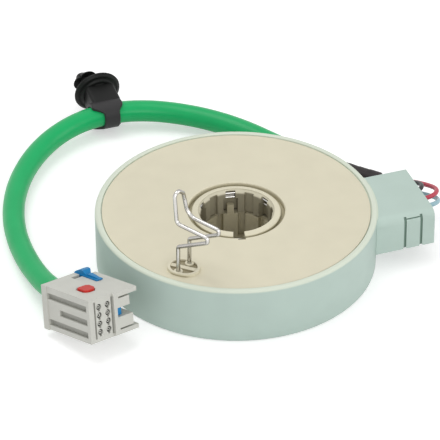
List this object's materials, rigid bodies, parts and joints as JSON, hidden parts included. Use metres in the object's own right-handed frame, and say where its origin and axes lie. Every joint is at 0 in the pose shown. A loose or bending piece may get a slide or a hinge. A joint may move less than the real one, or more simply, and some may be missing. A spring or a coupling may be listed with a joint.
{
  "type": "steering angle sensor",
  "caption": "Flat round rotary sensor with a turning disc, a keyed shaft hub, a bent drive wire, a side box and a short sleeved cable with a clip and a plug.",
  "frame": {"origin": "on the shaft bore's axis, at the flat underside of the hub and housing", "axes": "+Z along the bore's axis, up towards the rotor disc; +X from the axis towards the side box"},
  "size_m": [0.1476, 0.1589, 0.0513],
  "materials": {
    "mint_plastic": "fine satin moulding",
    "beige_plastic": "fine satin moulding",
    "hub_plastic": "satin moulding",
    "spring_steel": "drawn, bright",
    "contact_brass": "stamped, tinned",
    "board": "laminate with printed tracks",
    "lead_black": "extruded insulation",
    "lead_red": "extruded insulation",
    "lead_blue": "extruded insulation",
    "sleeve_green": "smooth extruded tube",
    "tape_black": "wound tape",
    "clip_black": "satin moulding",
    "strap_grey": "satin moulding",
    "plug_grey": "satin moulding",
    "lock_red": "satin moulding",
    "lock_blue": "satin moulding"
  },
  "bodies": {
    "base": {"housing": "mint_plastic", "box_tray": "mint_plastic", "box_cover": "mint_plastic", "resistor_board": "board", "terminal_pin_1": "contact_brass", "terminal_pin_2": "contact_brass", "terminal_pin_3": "contact_brass", "lead_black": "lead_black", "lead_red": "lead_red", "lead_blue": "lead_blue", "tape_wrap": "tape_black", "sleeve": "sleeve_green", "clip_band": "strap_grey", "clip_mount": "clip_black", "plug_housing": "plug_grey", "plug_side_key": "lock_blue", "plug_contact_1": "contact_brass", "plug_contact_2": "contact_brass", "plug_contact_3": "contact_brass"},
    "disc": {"upper_rotor": "beige_plastic", "spring_wire": "spring_steel", "leaf_spring_1": "spring_steel", "leaf_spring_2": "spring_steel", "leaf_spring_3": "spring_steel", "leaf_spring_4": "spring_steel", "leaf_spring_5": "spring_steel", "upper_wiper_1": "spring_steel", "upper_wiper_2": "spring_steel"},
    "hub": {"lower_rotor": "hub_plastic", "lower_wiper_1": "spring_steel", "lower_wiper_2": "spring_steel"},
    "red_lock": {"plug_red_lock": "lock_red"},
    "blue_lock": {"plug_blue_lock": "lock_blue"}
  },
  "joints": [
    {"name": "rotor_turn", "type": "hinge", "parent": "base", "child": "disc", "pos_m": [0, 0, 0], "axis": [0, 0, 1], "continuous": true},
    {"name": "hub_twist", "type": "hinge", "parent": "disc", "child": "hub", "pos_m": [0, 0, 0], "axis": [0, 0, 1], "range_deg": [-5, 5]},
    {"name": "red_lock_lift", "type": "slide", "parent": "base", "child": "red_lock", "axis": [0.0286, 0.261, 0.9649], "range_m": [0, 0.0015]},
    {"name": "blue_lock_slide", "type": "slide", "parent": "base", "child": "blue_lock", "axis": [0.3754, -0.8974, 0.2317], "range_m": [-0.003, 0]}
  ]
}
